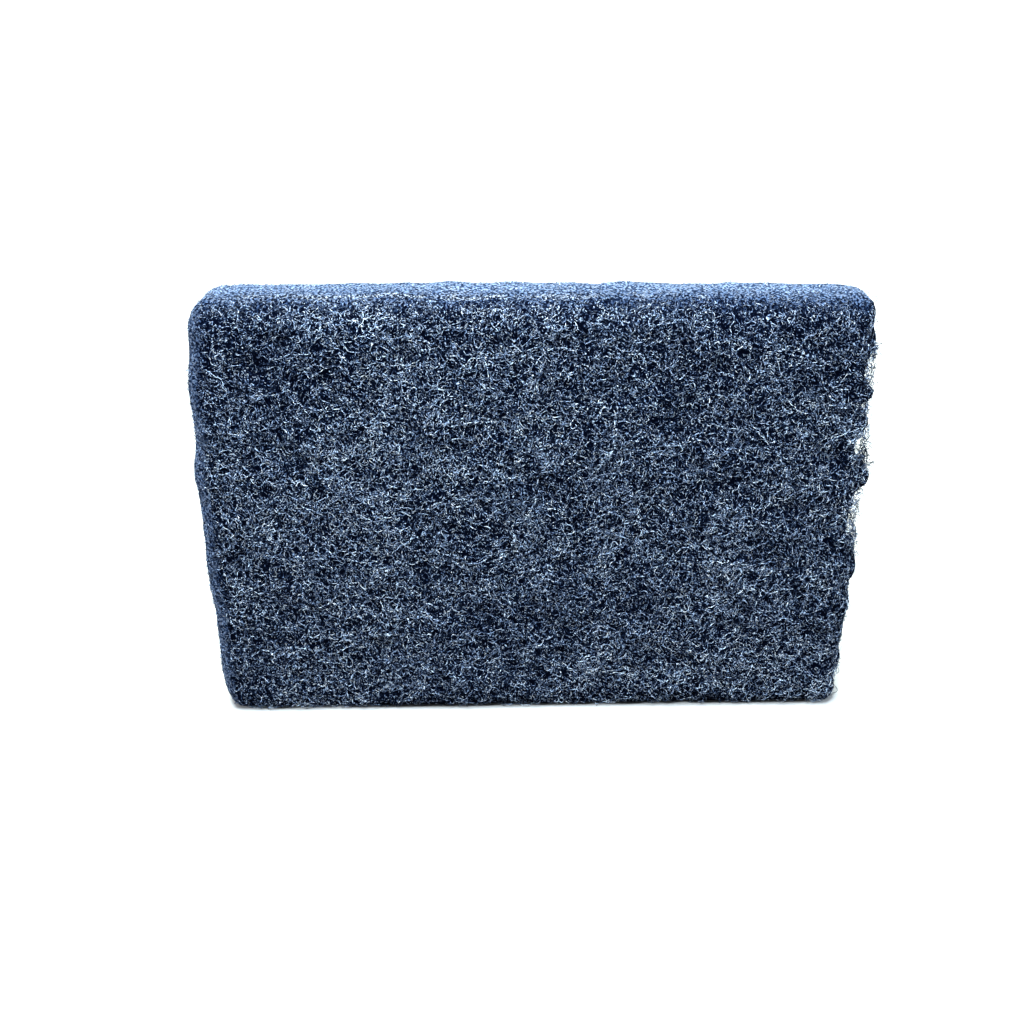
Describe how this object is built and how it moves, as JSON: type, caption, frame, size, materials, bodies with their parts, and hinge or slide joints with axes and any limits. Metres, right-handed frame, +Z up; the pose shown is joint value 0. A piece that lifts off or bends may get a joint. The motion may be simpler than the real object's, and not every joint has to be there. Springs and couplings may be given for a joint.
{
  "type": "hand scrubbing pad",
  "caption": "Thick rectangular hand scrubbing pad of open, springy non-woven fibre in dark slate, with softly worn corners and a torn end, standing on its long lower edge.",
  "frame": {"origin": "on the surface that the pad stands on, under the middle of the pad", "axes": "+X along the pad's length towards its torn end, +Y through its thickness away from the front face, +Z up"},
  "size_m": [0.1526, 0.0216, 0.1025],
  "materials": {
    "fibre_web": "open web of crimped synthetic fibres coated with glossy dark slate-blue resin, with black gaps between them"
  },
  "bodies": {
    "root": {"scrub_pad": "fibre_web"}
  },
  "joints": []
}
